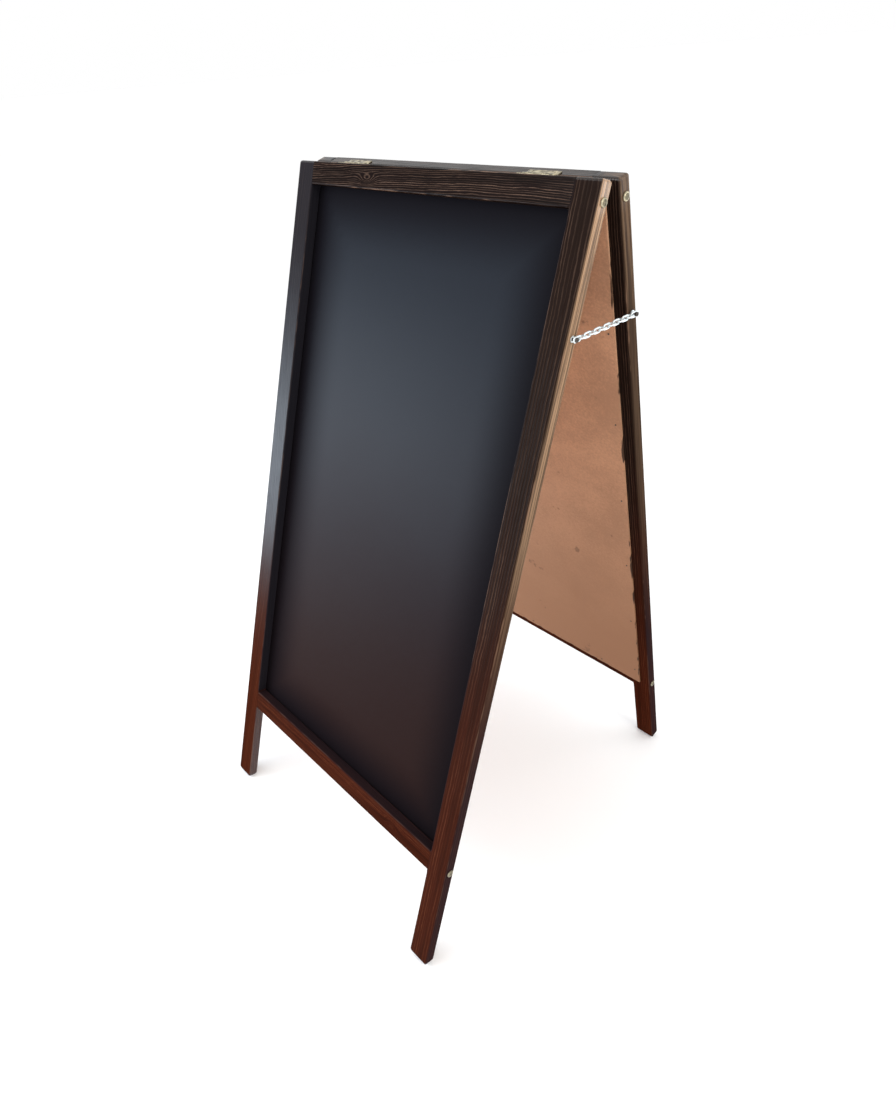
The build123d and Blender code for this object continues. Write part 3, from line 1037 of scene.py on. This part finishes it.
def link_path(half_length, half_breadth, bend):
    """Points and directions once round the middle of a link's wire."""
    path = []
    for quarter, (sign_x, sign_y) in enumerate(((1, 1), (-1, 1), (-1, -1), (1, -1))):
        centre = Vector((sign_x * (half_length - bend), sign_y * (half_breadth - bend), 0))
        for i in range(BEND_STEPS + 1):
            angle = (quarter + i / BEND_STEPS) * pi / 2
            path.append(centre + Vector((cos(angle), sin(angle), 0)) * bend)
        if quarter in (0, 2):
            reach = (half_length - bend) * sign_x
            for share in SIDE_STOPS:
                path.append(Vector((reach * share, sign_y * half_breadth, 0)))
    return path


def link_mesh(solids):
    """Every link of a run as a bent and welded wire."""
    settings = bpy.context.scene.board_metal
    points, faces = [], []
    for solid in solids:
        low = Vector([min(point[i] for point in solid) for i in range(3)])
        high = Vector([max(point[i] for point in solid) for i in range(3)])
        size, middle = high - low, (high + low) / 2
        flat = 0 if size.x < size.z else 2
        wire = size[flat] / 2
        long = Vector((0, 1, 0))
        normal = Vector((1, 0, 0)) if flat == 0 else Vector((0, 0, 1))
        side = normal.cross(long)
        breadth = (size.z if flat == 0 else size.x) / 2 - wire
        path = link_path(size.y / 2 - wire, breadth, breadth * BEND_SHARE)
        start, steps = len(points), settings.wire_steps
        for i, at in enumerate(path):
            ahead, behind = path[(i + 1) % len(path)], path[i - 1]
            heading = (ahead - behind).normalized()
            inward = Vector((0, 0, 1)).cross(heading)
            welded = at.y * (side.x * middle.x or 1.0) < 0
            nearness = ramp(abs(at.x), WELD_HALF_LENGTH, 0.0) if welded else 0.0
            radius = wire - WIRE_PLAY + settings.weld * nearness
            for j in range(steps):
                turn = 2 * pi * j / steps
                local = at + inward * (cos(turn) * radius) + Vector((0, 0, sin(turn) * radius))
                points.append(middle + long * local.x + side * local.y + normal * local.z)
        total = len(path)
        for i in range(total):
            for j in range(steps):
                a, b = i * steps + j, i * steps + (j + 1) % steps
                c, d = (a + steps) % (total * steps), (b + steps) % (total * steps)
                faces.append((start + a, start + b, start + d, start + c))
    return points, faces


class BOARD_OT_chains(bpy.types.Operator):
    """Build the chain links on both sides."""

    bl_idname = "board.chains"
    bl_label = "Chains"

    def execute(self, context):
        for hand in HANDS:
            for run in ("front_run", "middle_link", "rear_run"):
                node = f"{hand}_chain_{run}"
                points, faces = link_mesh(loose_parts(frame["nodes"][node].data))
                mesh = turned_outward(node, points, faces)
                mesh.shade_smooth()
                piece = add_object(f"{node}_links", mesh, "bright_zinc")
                fixed(piece, node, "bright_zinc", node)
        return {"FINISHED"}


# ---- Stage ----
# Each lamp: its name, place, target, size, power and colour.
LAMPS = (
    ("key", (-1.0, -2.6, 2.9), (0, 0, 0.6), 1.6, 30.0, (0.97, 0.98, 1.0)),
    ("side", (2.6, -0.3, 2.1), (0.2, 0, 0.9), 1.2, 26.0, (1.0, 0.95, 0.88)),
    ("sheen", (-1.55, -1.5, 0.45), (0, -0.15, 0.65), 1.5, 57.0, (0.74, 0.87, 1.0)),
    ("window", (1.45, 1.75, 0.95), (0.28, 0, 1.1), 0.9, 6.0, (0.9, 0.95, 1.0)),
)


def add_light(name, place, target, size, power, colour):
    """A soft square lamp pointed at a place."""
    lamp = bpy.data.lights.new(name, "AREA")
    lamp.shape = "SQUARE"
    lamp.size = size
    lamp.energy = power
    lamp.color = colour
    made = bpy.data.objects.new(name, lamp)
    made.location = place
    made.rotation_euler = (Vector(target) - Vector(place)).to_track_quat("-Z", "Y").to_euler()
    bpy.context.scene.collection.objects.link(made)


class BOARD_OT_stage(bpy.types.Operator):
    """Set up the camera, the floor and the lights."""

    bl_idname = "board.stage"
    bl_label = "Stage"

    def execute(self, context):
        settings = context.scene.board_stage
        lens = bpy.data.cameras.new("camera")
        lens.lens = settings.lens
        lens.sensor_width = 36.0
        lens.shift_x = settings.shift_x
        lens.shift_y = settings.shift_y
        camera = bpy.data.objects.new("camera", lens)
        context.scene.collection.objects.link(camera)
        heading = Vector(settings.target) - Vector(settings.camera)
        aim = heading.to_track_quat("-Z", "Y").to_matrix().to_4x4()
        roll = Matrix.Rotation(-settings.roll, 4, "Z")
        camera.matrix_world = Matrix.Translation(Vector(settings.camera)) @ aim @ roll
        context.scene.camera = camera

        mesh = bpy.data.meshes.new("floor")
        reach = settings.floor_reach
        corners = [(-reach, -reach, 0), (reach, -reach, 0), (reach, reach, 0), (-reach, reach, 0)]
        mesh.from_pydata(corners, [], [(0, 1, 2, 3)])
        add_object("floor", mesh, "pale_floor")

        for lamp in LAMPS:
            add_light(*lamp)

        world = bpy.data.worlds.new("surroundings")
        world.use_nodes = True
        background = world.node_tree.nodes["Background"]
        background.inputs["Color"].default_value = (*settings.sky, 1.0)
        background.inputs["Strength"].default_value = settings.sky_strength
        context.scene.world = world
        context.scene.view_settings.view_transform = "Standard"
        return {"FINISHED"}


# ---- Panel and registration ----
OPERATORS = (
    BOARD_OT_stage,
    BOARD_OT_timber,
    BOARD_OT_panels,
    BOARD_OT_hinges,
    BOARD_OT_fasteners,
    BOARD_OT_chains,
)


class BOARD_PT_pieces(bpy.types.Panel):
    """Lists the board's pieces."""

    bl_idname = "BOARD_PT_pieces"
    bl_label = "Sandwich board"
    bl_space_type = "VIEW_3D"
    bl_region_type = "UI"
    bl_category = "Board"

    def draw(self, context):
        for operator in OPERATORS:
            self.layout.operator(operator.bl_idname, text=operator.bl_label)


SETTINGS = {
    "board_timber": TimberSettings,
    "board_panel": PanelSettings,
    "board_metal": MetalSettings,
    "board_stage": StageSettings,
}


def register():
    for kind in (*SETTINGS.values(), *OPERATORS, BOARD_PT_pieces):
        bpy.utils.register_class(kind)
    for name, kind in SETTINGS.items():
        setattr(bpy.types.Scene, name, PointerProperty(type=kind))


def unregister():
    for name in SETTINGS:
        delattr(bpy.types.Scene, name)
    for kind in (BOARD_PT_pieces, *reversed(OPERATORS), *reversed(SETTINGS.values())):
        bpy.utils.unregister_class(kind)


def main():
    """Build the whole board."""
    register()
    bpy.ops.board.stage()
    bpy.ops.board.timber()
    bpy.ops.board.panels()
    bpy.ops.board.hinges()
    bpy.ops.board.fasteners()
    bpy.ops.board.chains()


if __name__ == "__main__":
    main()
